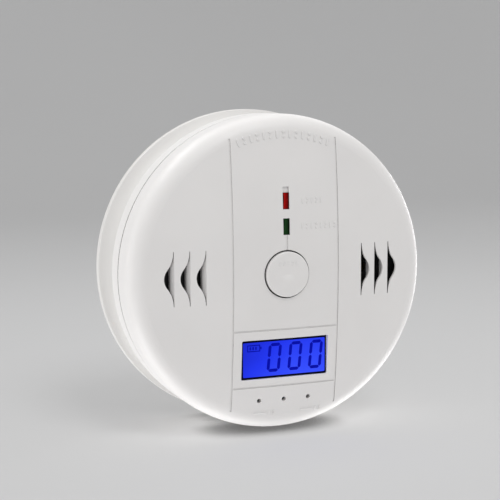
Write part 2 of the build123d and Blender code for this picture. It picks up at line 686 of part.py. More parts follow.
def make_circuit_board():
    board = post(BOARD_RADIUS, BOARD_BOTTOM, BOARD_TOP)
    notch_radius = CASE_BOSS_RADIUS + 0.6
    notch_spread = 1.12
    for x, y in CASE_SCREWS:
        board -= post(notch_radius, BOARD_BOTTOM, BOARD_TOP, x, y)
        board -= post(notch_radius, BOARD_BOTTOM, BOARD_TOP, x * notch_spread, y * notch_spread)
    for x, y in BOARD_SCREWS:
        board -= post(BOARD_SCREW_RADIUS + 0.2, BOARD_BOTTOM, BOARD_TOP, x, y)
    for x, y in sensor_pin_places():
        board -= post(SENSOR_PIN_RADIUS, BOARD_BOTTOM, BOARD_TOP, x, y)
    for x, y in display_pin_places():
        board -= post(DISPLAY_PIN_RADIUS, BOARD_BOTTOM, BOARD_TOP, x, y)
    for x in (BRASS_PIN_X, CERAMIC_PIN_X):
        board -= post(SOUNDER_PIN_RADIUS, BOARD_BOTTOM, BOARD_TOP, x, BUTTON_CENTRE)
    for height in (RED_LAMP_HEIGHT, GREEN_LAMP_HEIGHT):
        for x, y in lamp_leg_places(height):
            board -= block(LAMP_LEG_WIDTH, LAMP_LEG_WIDTH, BOARD_BOTTOM, BOARD_TOP, x, y)
    for x, y in CONTACT_TAILS:
        board -= block(TAIL_WIDTH, CONTACT_THICKNESS, BOARD_BOTTOM, BOARD_TOP, x, y)
    return board


def chip_body(size, x, y):
    """A chip package that stands a little off the board."""
    width, length, height = size
    return block(width, length, BOARD_TOP + 0.2, BOARD_TOP + height, x, y)


def make_microcontroller():
    x, y = MICROCONTROLLER_PLACE
    chip = chip_body((10.0, 10.0, 1.7), x, y)
    leads_per_side = 8
    lead_pitch = 1.1
    lead_width = 0.4
    lead_span = 12.0
    for index in range(leads_per_side):
        along = (index - (leads_per_side - 1) / 2) * lead_pitch
        chip += block(lead_span, lead_width, BOARD_TOP, BOARD_TOP + 0.6, x, y + along)
        chip += block(lead_width, lead_span, BOARD_TOP, BOARD_TOP + 0.6, x + along, y)
    return chip


def make_amplifier_chip():
    x, y = AMPLIFIER_PLACE
    chip = chip_body((5.0, 4.0, 1.5), x, y)
    leads_per_side = 4
    lead_pitch = 1.27
    for index in range(leads_per_side):
        along = (index - (leads_per_side - 1) / 2) * lead_pitch
        chip += block(0.4, 6.0, BOARD_TOP, BOARD_TOP + 0.6, x + along, y)
    return chip


def make_reservoir_capacitor():
    """An electrolytic can with a rounded top and a crimped groove near its foot."""
    can = post(CAPACITOR_RADIUS, BOARD_TOP, BOARD_TOP + CAPACITOR_HEIGHT)
    can = fillet(can.edges().filter_by(GeomType.CIRCLE).sort_by(Axis.Z)[-1], 0.5)
    crimp_low = BOARD_TOP + 1.4
    crimp = tube(CAPACITOR_RADIUS + 0.1, CAPACITOR_RADIUS - 0.4, crimp_low, crimp_low + 0.6)
    return Pos(*CAPACITOR_PLACE, 0) * (can - crimp)


def make_sounder_coil():
    """A bobbin: two flanges and a wound core."""
    flange_height = 1.0
    core_top = COIL_HEIGHT - flange_height
    coil = post(COIL_RADIUS, BOARD_TOP, BOARD_TOP + flange_height, *COIL_PLACE)
    coil += post(COIL_RADIUS, BOARD_TOP + core_top, BOARD_TOP + COIL_HEIGHT, *COIL_PLACE)
    return coil + post(0.8 * COIL_RADIUS, BOARD_TOP + flange_height, BOARD_TOP + core_top, *COIL_PLACE)


def make_chip_resistors():
    pieces = []
    pitch = 2.6
    for first_x, y in RESISTOR_ROWS:
        for index in range(RESISTORS_PER_ROW):
            pieces.append(block(1.25, 2.0, BOARD_TOP, BOARD_TOP + 0.6, first_x + index * pitch, y))
    return group(pieces)


# ---------------------------------------------------------------- battery cells and contacts


def make_cell(x, direction):
    """A cell whose plus end points up the face where direction is 1, and down where it is -1."""
    plus_end = BAY_LENGTH / 2 - CONTACT_THICKNESS
    body = post(CELL_RADIUS, plus_end - CELL_LENGTH, plus_end - NUB_LENGTH)
    ends = body.edges().filter_by(GeomType.CIRCLE)
    cell = fillet(ends, 0.6) + post(NUB_RADIUS, plus_end - NUB_LENGTH - 0.5, plus_end)
    return Pos(x, 0, CELL_AXIS) * Rot(-90 * direction, 0, 0) * cell


def make_battery_springs():
    springs = []
    low = -BAY_LENGTH / 2 + CONTACT_THICKNESS + SPRING_WIRE
    high = BAY_LENGTH / 2 - CONTACT_THICKNESS - CELL_LENGTH - SPRING_WIRE
    for x, direction in zip(CELL_XS, CELL_DIRECTIONS):
        path = Helix((high - low) / SPRING_TURNS, high - low, SPRING_COIL_RADIUS)
        section = Plane(origin=path @ 0, z_dir=path % 0) * Circle(SPRING_WIRE)
        coil = Pos(0, 0, low) * sweep(section, path=path)
        springs.append(Pos(x, 0, CELL_AXIS) * Rot(-90 * direction, 0, 0) * coil)
    return group(springs)


def make_battery_contacts():
    """Six flat contacts on the end walls; the first and the last one reach the circuit board."""
    contacts = []
    low = CELL_AXIS - CONTACT_SIZE / 2
    high = CELL_AXIS + CONTACT_SIZE / 2
    for x in CELL_XS:
        for side in (-1, 1):
            y = side * WALL_CONTACT_Y
            contact = block(CONTACT_SIZE, CONTACT_THICKNESS, low, high, x, y)
            if (x, y) in CONTACT_TAILS:
                contact += block(TAIL_WIDTH, CONTACT_THICKNESS, CELL_AXIS, BOARD_TOP + 1.0, x, y)
            contacts.append(contact)
    return group(contacts)


# ---------------------------------------------------------------- screws


def make_screw(radius, head_radius, seat, length, head_height, x, y, direction):
    """A pan-head screw with a cross recess; its shank runs along z in the given direction."""
    shank = Cylinder(radius, length, align=BOTTOM)
    head = Pos(0, 0, -head_height) * Cylinder(head_radius, head_height, align=BOTTOM)
    cross = Box(head_radius * 1.2, 0.5, head_height) + Box(0.5, head_radius * 1.2, head_height)
    screw = shank + head - Pos(0, 0, -head_height) * cross
    turn = Rot(0, 0, 0) if direction > 0 else Rot(180, 0, 0)
    return Pos(x, y, seat) * turn * screw


def make_case_screws():
    return group(
        make_screw(CASE_SCREW_RADIUS, CASE_SCREW_HEAD, CASE_SCREW_SEAT, CASE_SCREW_LENGTH, 1.8, x, y, 1)
        for x, y in CASE_SCREWS
    )


def make_board_screws():
    return group(
        make_screw(BOARD_SCREW_RADIUS, BOARD_SCREW_HEAD, BOARD_TOP, BOARD_SCREW_LENGTH, 1.4, x, y, -1)
        for x, y in BOARD_SCREWS
    )


# ---------------------------------------------------------------- write every node

NODES = {
    "front_cover": make_front_cover(),
    "rear_cover": make_rear_cover(),
    "mounting_plate": make_mounting_plate(),
    "test_button": make_test_button(),
    "tact_switch_body": make_tact_switch_body(),
    "tact_switch_plunger": make_tact_switch_plunger(),
    "red_alarm_led": make_lamp(RED_LAMP_HEIGHT),
    "green_power_led": make_lamp(GREEN_LAMP_HEIGHT),
    "led_legs": make_led_legs(),
    "led_spacers": make_led_spacers(),
    "lcd_glass": make_lcd_glass(),
    "lcd_backlight": make_lcd_backlight(),
    "lcd_holder": make_lcd_holder(),
    "lcd_pins": make_lcd_pins(),
    "co_sensor_can": make_co_sensor_can(),
    "co_sensor_cap": make_co_sensor_cap(),
    "co_sensor_filter": make_co_sensor_filter(),
    "co_sensor_pins": make_co_sensor_pins(),
    "sounder_chamber": make_sounder_chamber(),
    "piezo_disc": make_piezo_disc(),
    "piezo_ceramic": make_piezo_ceramic(),
    "sounder_pins": make_sounder_pins(),
    "circuit_board": make_circuit_board(),
    "microcontroller": make_microcontroller(),
    "amplifier_chip": make_amplifier_chip(),
    "reservoir_capacitor": make_reservoir_capacitor(),
    "sounder_coil": make_sounder_coil(),
    "chip_resistors": make_chip_resistors(),
    "battery_left": make_cell(CELL_XS[0], CELL_DIRECTIONS[0]),
    "battery_middle": make_cell(CELL_XS[1], CELL_DIRECTIONS[1]),
    "battery_right": make_cell(CELL_XS[2], CELL_DIRECTIONS[2]),
    "battery_springs": make_battery_springs(),
    "battery_contacts": make_battery_contacts(),
    "case_screws": make_case_screws(),
    "board_screws": make_board_screws(),
}

os.makedirs("parts", exist_ok=True)
for name, shape in NODES.items():
    export_step(STAND_UP * shape, f"parts/{name}.step")
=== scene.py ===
from math import cos, pi, radians, sin

import bmesh
import bpy
from mathutils import Matrix, Vector
from mathutils.bvhtree import BVHTree


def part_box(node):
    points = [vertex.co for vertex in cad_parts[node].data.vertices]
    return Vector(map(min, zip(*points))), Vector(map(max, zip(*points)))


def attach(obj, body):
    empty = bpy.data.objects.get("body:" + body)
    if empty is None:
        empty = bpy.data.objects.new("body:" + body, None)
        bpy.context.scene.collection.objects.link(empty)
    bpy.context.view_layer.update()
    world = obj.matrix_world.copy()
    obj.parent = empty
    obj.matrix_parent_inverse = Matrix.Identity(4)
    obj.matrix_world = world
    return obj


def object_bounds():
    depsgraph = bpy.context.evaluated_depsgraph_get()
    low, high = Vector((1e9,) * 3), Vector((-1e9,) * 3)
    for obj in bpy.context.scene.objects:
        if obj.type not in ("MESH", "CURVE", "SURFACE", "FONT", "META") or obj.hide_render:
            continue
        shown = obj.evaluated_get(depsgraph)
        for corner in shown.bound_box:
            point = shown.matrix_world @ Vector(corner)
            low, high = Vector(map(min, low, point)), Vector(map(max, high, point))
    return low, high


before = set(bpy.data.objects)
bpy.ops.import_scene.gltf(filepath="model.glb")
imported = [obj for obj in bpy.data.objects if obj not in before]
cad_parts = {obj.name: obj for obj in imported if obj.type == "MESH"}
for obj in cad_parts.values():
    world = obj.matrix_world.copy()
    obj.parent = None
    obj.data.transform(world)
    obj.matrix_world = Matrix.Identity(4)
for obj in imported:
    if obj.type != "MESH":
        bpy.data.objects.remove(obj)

# The looks of a round carbon monoxide detector: materials on the CAD nodes, the display's digits and
# printed border, and the small raised marks on the face. All sizes are in metres.

cad_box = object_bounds()
MM = 0.001
HEAD = "head"
BUTTON = "button"

NOISE_LOW = 0.3                  # most of a noise texture's values lie between these
NOISE_HIGH = 0.7
SHARP_GAPS = (0.2, 0.5)          # the share of free view at which the painted shade in a gap is darkest, and at which the colour is unchanged
SOFT_GAPS = (0.5, 0.95)
CONTACT_SHADOW_GAPS = (0.15, 0.7)
GAP_SAMPLES = 6


# ---------------------------------------------------------------- material helpers


class Nodes:
    """A small wrapper that adds and links shader nodes of one material."""

    def __init__(self, name):
        self.material = bpy.data.materials.new(name)
        self.material.use_nodes = True
        self.tree = self.material.node_tree
        self.shader = self.tree.nodes["Principled BSDF"]
        coordinates = self.add("ShaderNodeTexCoord")
        self.place = coordinates.outputs["Object"]

    def add(self, kind, **settings):
        """Adds a shader node and sets its properties."""
        node = self.tree.nodes.new(kind)
        for key, value in settings.items():
            setattr(node, key, value)
        return node

    def link(self, output, target):
        self.tree.links.new(output, target)

    def fix(self, **values):
        """Sets the shader's own sockets, with _ for a space in a socket's name."""
        for key, value in values.items():
            self.shader.inputs[key.replace("_", " ")].default_value = value

    def noise(self, size, detail=2.0, roughness=0.5, stretch=(1, 1, 1)):
        """Noise whose features are about `size` metres across."""
        mapping = self.add("ShaderNodeMapping")
        mapping.inputs["Scale"].default_value = stretch
        self.link(self.place, mapping.inputs["Vector"])
        noise = self.add("ShaderNodeTexNoise")
        noise.inputs["Scale"].default_value = 1 / size
        noise.inputs["Detail"].default_value = detail
        noise.inputs["Roughness"].default_value = roughness
        self.link(mapping.outputs["Vector"], noise.inputs["Vector"])
        return noise.outputs["Fac"]

    def ramp(self, value, *stops, interpolation="LINEAR"):
        """A colour ramp; each stop is (position, colour)."""
        ramp = self.add("ShaderNodeValToRGB")
        ramp.color_ramp.interpolation = interpolation
        elements = ramp.color_ramp.elements
        while len(elements) < len(stops):
            elements.new(0.5)
        for element, (position, colour) in zip(elements, stops):
            element.position = position
            element.color = (*colour, 1)
        self.link(value, ramp.inputs["Fac"])
        return ramp.outputs["Color"]

    def scaled(self, value, low, high, from_low=0.0, from_high=1.0):
        """Maps a value that runs from from_low to from_high onto the span from low to high."""
        span = self.add("ShaderNodeMapRange")
        limits = {"From Min": from_low, "From Max": from_high, "To Min": low, "To Max": high}
        for key, number in limits.items():
            span.inputs[key].default_value = number
        self.link(value, span.inputs["Value"])
        return span.outputs["Result"]

    def varied(self, value, low, high):
        """Maps a noise value onto the span from low to high."""
        return self.scaled(value, low, high, NOISE_LOW, NOISE_HIGH)

    def mottled(self, value, first, second):
        """A colour that wanders between two colours with a noise value."""
        return self.ramp(value, (NOISE_LOW, first), (NOISE_HIGH, second))

    def combine(self, operation, first, second):
        """The result of a sum or product of two values."""
        math = self.add("ShaderNodeMath", operation=operation)
        for socket, value in zip(math.inputs, (first, second)):
            self.link(value, socket)
        return math.outputs["Value"]

    def bump(self, *layers):
        """Stacks bump layers; each is (height, distance in metres, strength)."""
        normal = None
        for height, distance, strength in layers:
            bump = self.add("ShaderNodeBump")
            bump.inputs["Distance"].default_value = distance
            bump.inputs["Strength"].default_value = strength
            self.link(height, bump.inputs["Height"])
            if normal is not None:
                self.link(normal, bump.inputs["Normal"])
            normal = bump.outputs["Normal"]
        self.link(normal, self.shader.inputs["Normal"])

    def painted_gap_shade(self, reach, darkest, colour, gaps=SHARP_GAPS):
        """Paints shade into a colour in narrow gaps and close to other surfaces; reach is in metres. The
        colour is darkest where the share of free view is under gaps[0], and unchanged where it is over
        gaps[1]."""
        closed, opened = gaps
        shelter = self.add("ShaderNodeAmbientOcclusion", samples=GAP_SAMPLES)
        shelter.inputs["Distance"].default_value = reach
        tint = self.ramp(shelter.outputs["AO"], (closed, (darkest,) * 3), (opened, (1.0, 1.0, 1.0)))
        mix = self.add("ShaderNodeMix", data_type="RGBA", blend_type="MULTIPLY")
        mix.inputs["Factor"].default_value = 1.0
        self.link(colour, mix.inputs["A"])
        self.link(tint, mix.inputs["B"])
        return mix.outputs["Result"]

    def axis(self, name):
        """The place on the object along X, Y or Z, in metres."""
        separate = self.add("ShaderNodeSeparateXYZ")
        self.link(self.place, separate.inputs["Vector"])
        return separate.outputs[name]


def shade(colour, amount):
    """The colour made lighter or darker."""
    return tuple(min(1.0, channel * amount) for channel in colour)


# ---------------------------------------------------------------- materials

HOUSING_WHITE = (0.80, 0.784, 0.774)
# a darker copy of the housing white: painted shade for the plate under the head's rim
PLATE_WHITE = (0.71, 0.698, 0.682)
BLACK = (0.012, 0.012, 0.013)
SLEEVE_BLACK = (0.02, 0.02, 0.02)
PALE = (0.62, 0.61, 0.57)
FELT_BLACK = (0.05, 0.05, 0.05)
NICKEL = (0.62, 0.62, 0.64)
TIN = (0.74, 0.74, 0.76)
BRASS = (0.78, 0.57, 0.22)
SILVER = (0.82, 0.80, 0.76)
ALUMINIUM = (0.78, 0.79, 0.80)
DIGIT_INK = (0.0006, 0.001, 0.02)
DIGIT_GLOW = (0.0, 0.003, 0.4)
BORDER_INK = (0.001, 0.001, 0.008)
BORDER_GLOW = (0.0, 0.0, 0.004)
# a lamp's colour near its left edge, which is a painted highlight, in its middle, and at its rim, which is
# painted shade
RED_LENS = ((0.42, 0.006, 0.004), (0.22, 0.002, 0.002), (0.08, 0.001, 0.001))
GREEN_LENS = ((0.012, 0.05, 0.014), (0.007, 0.032, 0.008), (0.003, 0.009, 0.004))
# the backlit blue, from its dimmest part to its brightest
DIM_BLUE = (0.005, 0.013, 0.50)
MIDDLE_BLUE = (0.014, 0.036, 0.86)
BRIGHT_BLUE = (0.040, 0.085, 1.0)

PLASTIC_IOR = 1.53
EPOXY_IOR = 1.54
GLASS_IOR = 1.5
WHITE_PLASTIC_DEPTH = 0.15       # the share of light that scatters inside the white plastic
FACING_FORWARD = (radians(90), 0, 0)      # turns a flat pattern so that it lies on the board


def moulded_plastic(
    name, colour, roughness=0.42, grain=0.25 * MM, grain_depth=0.004 * MM, soft=0.0, gaps=SHARP_GAPS
):
    """Injection-moulded plastic: spark-eroded grain, slight flow marks in tone and gloss, painted shade in
    its gaps.
    """
    m = Nodes(name)
    cloud = m.noise(22 * MM, detail=3.0)
    tone = m.mottled(cloud, shade(colour, 0.975), shade(colour, 1.01))
    # painted shade, darkest in narrow gaps such as the seam and the ring round the button
    m.link(m.painted_gap_shade(1.2 * MM, 0.03, tone, gaps), m.shader.inputs["Base Color"])
    fine = m.noise(1.6 * MM, detail=4.0)
    gloss = m.scaled(fine, roughness - 0.05, roughness + 0.06, from_low=0.35, from_high=0.65)
    m.link(gloss, m.shader.inputs["Roughness"])
    m.bump((m.noise(grain, detail=3.0), grain_depth, 0.5), (m.noise(14 * MM, detail=1.0), 0.02 * MM, 0.25))
    m.fix(IOR=PLASTIC_IOR)
    if soft:
        m.fix(Subsurface_Weight=soft, Subsurface_Radius=(1.0, 0.95, 0.9), Subsurface_Scale=0.8 * MM)
    return m.material


def lamp_lens(name, low, high, light, colour, shaded_rim):
    """Tinted epoxy lamp body, with a painted highlight near its left edge that fades into its tint to the
    right, and painted shade at its rim and in its gaps.
    """
    m = Nodes(name)
    across = m.scaled(m.axis("X"), 0.0, 1.0, low.x, high.x)
    swirl = m.combine("ADD", across, m.varied(m.noise(1.2 * MM), -0.12, 0.12))
    # the lighter stop near the left edge is a painted highlight; the dark stops at both ends are painted
    # shade
    tone = m.ramp(swirl, (0.06, shaded_rim), (0.2, light), (0.6, colour), (0.95, shaded_rim))
    m.link(m.painted_gap_shade(0.5 * MM, 0.1, tone), m.shader.inputs["Base Color"])
    m.link(m.varied(m.noise(0.5 * MM), 0.25, 0.4), m.shader.inputs["Roughness"])
    m.bump((m.noise(0.8 * MM, detail=1.0), 0.01 * MM, 0.4))
    m.fix(IOR=EPOXY_IOR, Specular_IOR_Level=0.04)
    return m.material


def display_blue(low, high):
    """Backlit liquid crystal, darker towards the left and towards the top."""
    m = Nodes("display_blue")
    bright_from = low.x + 0.62 * (high.x - low.x)
    across = m.scaled(m.axis("X"), 0.0, 1.0, low.x, bright_from)
    upward = m.scaled(m.axis("Z"), 1.0, 0.62, low.z, high.z)
    glow = m.combine("MULTIPLY", m.scaled(across, 0.55, 1.0), upward)
    uneven = m.combine("ADD", glow, m.scaled(m.noise(6 * MM), -0.05, 0.05))
    colour = m.ramp(uneven, (0.3, DIM_BLUE), (0.62, MIDDLE_BLUE), (1.0, BRIGHT_BLUE))
    m.link(colour, m.shader.inputs["Emission Color"])
    m.fix(Emission_Strength=0.95, IOR=GLASS_IOR, Specular_IOR_Level=0.08)
    unlit = m.ramp(uneven, (0.0, (0.001, 0.002, 0.05)), (1.0, (0.002, 0.004, 0.08)))
    m.link(unlit, m.shader.inputs["Base Color"])
    m.link(m.scaled(m.noise(0.6 * MM), 0.2, 0.3), m.shader.inputs["Roughness"])
    return m.material


def display_ink(name, colour, emission):
    """Dark liquid crystal cells or printed ink, faintly lit through from behind."""
    m = Nodes(name)
    patchy = m.noise(1.5 * MM)
    m.link(m.mottled(patchy, shade(colour, 0.8), colour), m.shader.inputs["Base Color"])
    m.link(m.mottled(patchy, shade(emission, 0.85), emission), m.shader.inputs["Emission Color"])
    m.link(m.scaled(m.noise(0.5 * MM), 0.25, 0.4), m.shader.inputs["Roughness"])
    m.fix(Emission_Strength=1.0, Specular_IOR_Level=0.05)
    return m.material


def plated_metal(name, colour, roughness):
    """Plated or brushed metal with fine drawn lines and dull spots."""
    m = Nodes(name)
    lines = m.noise(0.35 * MM, detail=3.0, roughness=0.6, stretch=(1, 1, 14))
    spots = m.noise(2.2 * MM, detail=4.0)
    m.link(m.ramp(spots, (0.3, shade(colour, 0.82)), (0.65, colour)), m.shader.inputs["Base Color"])
    m.link(m.varied(lines, roughness - 0.08, roughness + 0.14), m.shader.inputs["Roughness"])
    m.bump((lines, 0.004 * MM, 0.35))
    m.fix(Metallic=1.0)
    return m.material


def circuit_board_green():
    """Green solder resist over a pattern of raised tracks, with a fine glass-fibre grain."""
    m = Nodes("circuit_board_green")
    brick = m.add("ShaderNodeTexBrick")
    track_spacing = 9 * MM
    track_share = 0.035
    brick.inputs["Scale"].default_value = 1 / track_spacing
    brick.inputs["Mortar Size"].default_value = track_share
    brick.inputs["Color1"].default_value = (0.0, 0.0, 0.0, 1)
    brick.inputs["Color2"].default_value = (0.1, 0.1, 0.1, 1)
    brick.inputs["Mortar"].default_value = (1, 1, 1, 1)
    turn = m.add("ShaderNodeMapping")
    turn.inputs["Rotation"].default_value = FACING_FORWARD
    m.link(m.place, turn.inputs["Vector"])
    m.link(turn.outputs["Vector"], brick.inputs["Vector"])
    tone = m.combine("ADD", brick.outputs["Fac"], m.scaled(m.noise(3 * MM, detail=3.0), -0.15, 0.15))
    colour = m.ramp(tone, (0.1, (0.008, 0.11, 0.035)), (0.7, (0.02, 0.21, 0.07)))
    m.link(colour, m.shader.inputs["Base Color"])
    m.link(m.scaled(m.noise(0.8 * MM), 0.25, 0.4), m.shader.inputs["Roughness"])
    m.bump((brick.outputs["Fac"], 0.03 * MM, 0.5), (m.noise(0.4 * MM), 0.006 * MM, 0.3))
    return m.material


def cell_jacket(name, low, high, plus_up):
    """A dry cell's printed jacket: a coloured band near the plus end, bare metal at both ends."""
    m = Nodes(name)
    bottom, top = (0.0, 1.0) if plus_up else (1.0, 0.0)
    along = m.scaled(m.axis("Z"), bottom, top, low.z, high.z)
    bare = (0.55, 0.55, 0.57)
    dark = (0.02, 0.022, 0.028)
    band = (0.55, 0.27, 0.06)
    stops = ((0.0, bare), (0.012, dark), (0.70, band), (0.955, bare))
    colour = m.ramp(along, *stops, interpolation="CONSTANT")
    m.link(colour, m.shader.inputs["Base Color"])
    m.link(m.scaled(m.noise(1.5 * MM, detail=3.0), 0.22, 0.36), m.shader.inputs["Roughness"])
    m.bump((m.noise(5 * MM), 0.02 * MM, 0.3))
    m.fix(Metallic=0.6)
    return m.material


def felt(name, colour):
    """Charcoal-filled felt."""
    m = Nodes(name)
    fibres = m.noise(0.4 * MM, detail=5.0, roughness=0.7, stretch=(1, 1, 3))
    m.link(m.mottled(fibres, shade(colour, 0.6), shade(colour, 1.4)), m.shader.inputs["Base Color"])
    m.link(m.scaled(fibres, 0.85, 1.0), m.shader.inputs["Roughness"])
    m.bump((fibres, 0.08 * MM, 0.9))
    return m.material


def clear_guide():
    """Frosted acrylic light guide with its dot pattern."""
    m = Nodes("light_guide")
    dots = m.add("ShaderNodeTexVoronoi")
    dot_spacing = 0.9 * MM
    dots.inputs["Scale"].default_value = 1 / dot_spacing
    m.link(m.place, dots.inputs["Vector"])
    colour = m.ramp(dots.outputs["Distance"], (0.2, (0.85, 0.9, 1.0)), (0.5, (0.55, 0.68, 0.95)))
    m.link(colour, m.shader.inputs["Base Color"])
    m.link(m.scaled(dots.outputs["Distance"], 0.15, 0.35), m.shader.inputs["Roughness"])
    m.bump((dots.outputs["Distance"], 0.02 * MM, 0.4))
    return m.material


# ---------------------------------------------------------------- CAD nodes


def dress(material, *nodes):
    """Gives CAD nodes a material."""
    for node in nodes:
        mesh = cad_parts[node].data
        mesh.materials.clear()
        mesh.materials.append(material)


def dress_plastics():
    """The housing, the plate and the plastic parts inside."""
    housing = moulded_plastic("housing_plastic", HOUSING_WHITE, soft=WHITE_PLASTIC_DEPTH)
    # the rear housing's painted gap shade reaches further, so that it darkens the seam
    rear_housing = moulded_plastic(
        "rear_housing_plastic", HOUSING_WHITE, soft=WHITE_PLASTIC_DEPTH, gaps=SOFT_GAPS
    )
    plate = moulded_plastic("plate_plastic", PLATE_WHITE, roughness=0.5, soft=WHITE_PLASTIC_DEPTH)
    black = moulded_plastic(
        "black_plastic", BLACK, roughness=0.55, grain=0.4 * MM, grain_depth=0.01 * MM
    )
    pale = moulded_plastic("pale_plastic", PALE, roughness=0.5)
    sleeve = moulded_plastic(
        "coil_sleeve", SLEEVE_BLACK, roughness=0.35, grain=0.6 * MM, grain_depth=0.02 * MM
    )
    dress(housing, "front_cover", "test_button")
    dress(rear_housing, "rear_cover")
    dress(plate, "mounting_plate")
    dress(black, "sounder_chamber", "co_sensor_cap", "led_spacers", "tact_switch_body")
    dress(black, "microcontroller", "amplifier_chip", "chip_resistors")
    dress(pale, "lcd_holder", "tact_switch_plunger")
    dress(sleeve, "sounder_coil")


def dress_metals():
    """Cans, springs, screws, pins and the sounder's disc."""
    steel = plated_metal("nickel_steel", NICKEL, roughness=0.28)
    tinned = plated_metal("tinned_wire", TIN, roughness=0.32)
    dress(steel, "co_sensor_can", "case_screws", "board_screws", "battery_springs", "battery_contacts")
    dress(tinned, "led_legs", "lcd_pins", "co_sensor_pins", "sounder_pins")
    dress(plated_metal("rolled_brass", BRASS, roughness=0.3), "piezo_disc")
    dress(plated_metal("silvered_ceramic", SILVER, roughness=0.5), "piezo_ceramic")
    dress(plated_metal("can_aluminium", ALUMINIUM, roughness=0.3), "reservoir_capacitor")


def dress_lamps_and_display():
    """The two lamps, the display glass and the light guide behind it."""
    dress(lamp_lens("red_lens", *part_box("red_alarm_led"), *RED_LENS), "red_alarm_led")
    dress(lamp_lens("green_lens", *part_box("green_power_led"), *GREEN_LENS), "green_power_led")
    dress(display_blue(*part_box("lcd_glass")), "lcd_glass")
    dress(clear_guide(), "lcd_backlight")


def dress_inside():
    """The board, the filter and the cells; the middle cell lies the other way round."""
    dress(circuit_board_green(), "circuit_board")
    dress(felt("filter_felt", FELT_BLACK), "co_sensor_filter")
    plus_ends_up = {"battery_left": True, "battery_middle": False, "battery_right": True}
    for node, plus_up in plus_ends_up.items():
        dress(cell_jacket(node + "_jacket", *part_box(node), plus_up), node)


# ---------------------------------------------------------------- small flat pieces on a surface

ROUND_STEPS = 6                  # straight edges in a rounded end or corner


class Surface:
    """The front of a CAD node, as seen along Y."""

    def __init__(self, node):
        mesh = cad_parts[node].data
        mesh.calc_loop_triangles()
        points = [vertex.co.copy() for vertex in mesh.vertices]
        triangles = [tuple(triangle.vertices) for triangle in mesh.loop_triangles]
        self.tree = BVHTree.FromPolygons(points, triangles)

    def front(self, x, z):
        """The Y of the node's foremost surface at x, z."""
        from_far_in_front = Vector((x, -1.0, z))
        hit = self.tree.ray_cast(from_far_in_front, Vector((0, 1, 0)))[0]
        return hit.y


def to_object(name, mesh):
    """Turns a finished bmesh into an object in the scene."""
    data = bpy.data.meshes.new(name)
    mesh.to_mesh(data)
    mesh.free()
    made = bpy.data.objects.new(name, data)
    bpy.context.scene.collection.objects.link(made)
    return made


def bridge(mesh, rings):
    """Joins each closed ring of points to the next one with faces."""
    for first, second in zip(rings, rings[1:]):
        for index in range(len(first)):
            following = (index + 1) % len(first)
            mesh.faces.new((first[index], first[following], second[following], second[index]))


def inset_outline(outline, inset):
    """The outline with each point moved inward."""
    moved = []
    for index, (x, z) in enumerate(outline):
        before = outline[index - 1]
        after = outline[(index + 1) % len(outline)]
        along = Vector((after[0] - before[0], after[1] - before[1])).normalized()
        moved.append((x - along.y * inset, z + along.x * inset))
    return moved


def raised_shapes(name, outlines, front, height, sink, edge):
    """One mesh of low raised shapes with chamfered edges. An outline is a counter-clockwise list of (x, z);
    front(x, z) is the surface under it. The shapes start `sink` below that surface."""
    mesh = bmesh.new()
    for outline in outlines:
        centre_x = sum(x for x, _ in outline) / len(outline)
        centre_z = sum(z for _, z in outline) / len(outline)
        rings = []
        for inset, lift in ((0.0, -sink), (0.0, height - edge), (edge, height)):
            points = inset_outline(outline, inset)
            rings.append([mesh.verts.new((x, front(x, z) - lift, z)) for x, z in points])
        bridge(mesh, rings)
        top = rings[-1]
        middle = mesh.verts.new((centre_x, front(centre_x, centre_z) - height, centre_z))
        for index in range(len(top)):
            mesh.faces.new((top[index], top[(index + 1) % len(top)], middle))
        base = rings[0]
        under = mesh.verts.new((centre_x, front(centre_x, centre_z) + sink, centre_z))
        for index in range(len(base)):
            mesh.faces.new((base[(index + 1) % len(base)], base[index], under))
    bmesh.ops.recalc_face_normals(mesh, faces=mesh.faces)
    return to_object(name, mesh)


def dash(x, z, length, width, turn=0.0):
    """A round-ended dash: its length runs at `turn` radians from the X axis."""
    half = (length - width) / 2
    points = []
    for end, start in ((1, -pi / 2), (-1, pi / 2)):
        for step in range(ROUND_STEPS + 1):
            angle = start + pi * step / ROUND_STEPS
            points.append((end * half + cos(angle) * width / 2, sin(angle) * width / 2))
    turned = []
    for px, pz in points:
        turned.append((x + px * cos(turn) - pz * sin(turn), z + px * sin(turn) + pz * cos(turn)))
    return turned


# ---------------------------------------------------------------- raised marks on the face

BAR_SHARE = 0.3                  # a bar's width and a dot's width, as shares of a sign's size
DOT_SHARE = 0.4
DOT_LENGTH = 1.01                # a dot is a dash that is a hair longer than it is wide
MARK_SINK = 0.1 * MM             # how far the marks reach into the plastic
BOLD_HEIGHT = 0.22 * MM          # each height is followed by the width of its chamfer
BOLD_EDGE = 0.1 * MM
FAINT_HEIGHT = 0.13 * MM
FAINT_EDGE = 0.08 * MM
BUTTON_MARK_HEIGHT = 0.1 * MM
BUTTON_MARK_EDGE = 0.05 * MM


def sign(is_bar, x, z, size, turn=0.0):
    """A small plain sign: an upright bar, or two dots one above the other."""
    if is_bar:
        return [dash(x, z, size, BAR_SHARE * size, turn + pi / 2)]
    dot = DOT_SHARE * size
    rise = (size - dot) / 2
    outlines = []
    for up in (-rise, rise):
        outlines.append(dash(x - up * sin(turn), z + up * cos(turn), dot * DOT_LENGTH, dot, turn))
    return outlines


def sign_row(x, z, count, pitch, size):
    """A row of signs, bars and dots by turns, from x to the right."""
    outlines = []
    for index in range(count):
        outlines += sign(index % 2 == 0, x + index * pitch, z, size)
    return outlines


def sign_arc():
    """Signs along an arc near the top of the face, from left to right."""
    outlines = []
    count = 15
    radius = 43.8 * MM
    span = radians(40)
    size = 2.6 * MM
    for index in range(count):
        turn = span * (0.5 - index / (count - 1))
        outlines += sign(index % 2 == 0, -radius * sin(turn), radius * cos(turn), size, turn)
    return outlines


